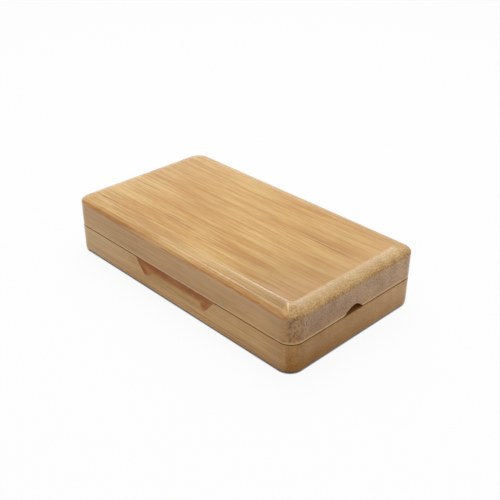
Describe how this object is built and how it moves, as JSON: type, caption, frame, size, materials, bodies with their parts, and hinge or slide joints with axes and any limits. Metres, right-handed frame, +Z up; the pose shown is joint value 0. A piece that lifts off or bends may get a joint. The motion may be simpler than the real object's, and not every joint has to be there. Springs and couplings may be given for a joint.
{
  "type": "reed case",
  "caption": "Flat hinged bamboo case with a finger scoop and end vents, lined with glass plates, lane ribs and elastic bands that hold woodwind reeds flat.",
  "frame": {"origin": "middle of the flat underside of the base, on the surface the case rests on", "axes": "+X along the case's long side, towards the end that the picture shows; +Y from the front with the finger scoop to the hinged back; +Z up"},
  "size_m": [0.108, 0.0624, 0.0215],
  "materials": {
    "bamboo": "satin clear lacquer over laminated bamboo",
    "rib_bamboo": "oiled bamboo strip",
    "felt": "pressed wool felt",
    "glass": "polished float glass with seamed edges",
    "elastic": "woven flat elastic",
    "nickel": "nickel plated magnet",
    "pin_steel": "drawn wire",
    "tack_brass": "polished",
    "hinge_brass": "satin"
  },
  "bodies": {
    "base": {"base_shell": "bamboo", "base_felt_pad": "felt", "base_glass_plate": "glass", "base_rib_front": "rib_bamboo", "base_rib_back": "rib_bamboo", "base_elastic_band": "elastic", "base_tack_front": "tack_brass", "base_tack_back": "tack_brass", "base_magnet_left": "nickel", "base_magnet_right": "nickel", "left_hinge_base_leaf": "hinge_brass", "left_hinge_pin": "pin_steel", "left_hinge_base_screw_left": "hinge_brass", "left_hinge_base_screw_right": "hinge_brass", "right_hinge_base_leaf": "hinge_brass", "right_hinge_pin": "pin_steel", "right_hinge_base_screw_left": "hinge_brass", "right_hinge_base_screw_right": "hinge_brass"},
    "lid": {"lid_shell": "bamboo", "lid_felt_pad": "felt", "lid_glass_plate": "glass", "lid_rib_front": "rib_bamboo", "lid_rib_back": "rib_bamboo", "lid_elastic_band": "elastic", "lid_tack_front": "tack_brass", "lid_tack_back": "tack_brass", "lid_magnet_left": "nickel", "lid_magnet_right": "nickel", "left_hinge_lid_leaf": "hinge_brass", "left_hinge_lid_screw_left": "hinge_brass", "left_hinge_lid_screw_right": "hinge_brass", "right_hinge_lid_leaf": "hinge_brass", "right_hinge_lid_screw_left": "hinge_brass", "right_hinge_lid_screw_right": "hinge_brass"}
  },
  "joints": [
    {"name": "lid_hinge", "type": "hinge", "parent": "base", "child": "lid", "pos_m": [0, 0.0313, 0.01055], "axis": [-1, 0, 0], "range_deg": [0, 175]}
  ]
}
